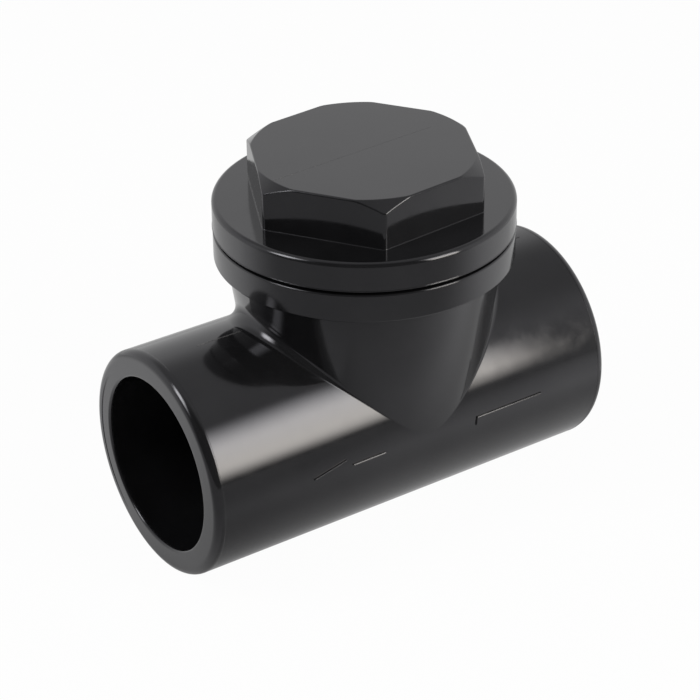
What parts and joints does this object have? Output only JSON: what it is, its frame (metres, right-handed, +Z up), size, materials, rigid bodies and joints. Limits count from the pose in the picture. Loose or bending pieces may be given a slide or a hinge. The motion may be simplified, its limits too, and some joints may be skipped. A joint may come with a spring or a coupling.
{
  "type": "backwater valve",
  "caption": "Tee-shaped swing backwater valve with solvent-weld pipe sockets, a tapered neck, a hexagon screw cap and a hinged flap on an inclined seat.",
  "frame": {"origin": "centre of the inlet socket's pipe stop, on the pipe's axis", "axes": "+X along the pipe in the direction of flow, from the inlet to the outlet; +Z up through the neck and the cap"},
  "size_m": [0.167, 0.1064, 0.1369],
  "materials": {
    "grey_pvc": "satin moulded",
    "black_rubber": "matt",
    "stainless_steel": "plain drawn"
  },
  "bodies": {
    "casing": {"valve_body": "grey_pvc", "hinge_pin": "stainless_steel", "pin_keeper_left": "grey_pvc", "pin_keeper_right": "grey_pvc", "keeper_screw_left": "stainless_steel", "keeper_screw_right": "stainless_steel"},
    "flap": {"flap_arm": "grey_pvc", "flap_disc": "grey_pvc", "flap_facing": "black_rubber", "facing_retainer": "grey_pvc", "flap_bolt": "stainless_steel", "flap_washer": "stainless_steel", "flap_nut": "stainless_steel"},
    "seal": {"cap_sealing_ring": "black_rubber"},
    "cap": {"screw_cap": "grey_pvc"}
  },
  "joints": [
    {"name": "flap_swing", "type": "hinge", "parent": "casing", "child": "flap", "pos_m": [0.00941, 0, 0.037], "axis": [0, -1, 0], "range_deg": [0, 70]},
    {"name": "cap_lift", "type": "slide", "parent": "casing", "child": "seal", "axis": [0, 0, 1], "range_m": [0, 0.0161]},
    {"name": "cap_turn", "type": "hinge", "parent": "seal", "child": "cap", "pos_m": [0.0404, 0, 0.0673], "axis": [0, 0, 1], "range_deg": [0, 1440]}
  ],
  "couplings": [
    {"joint": "cap_lift", "follows": "cap_turn", "m_per_rad": 0.00063662}
  ]
}
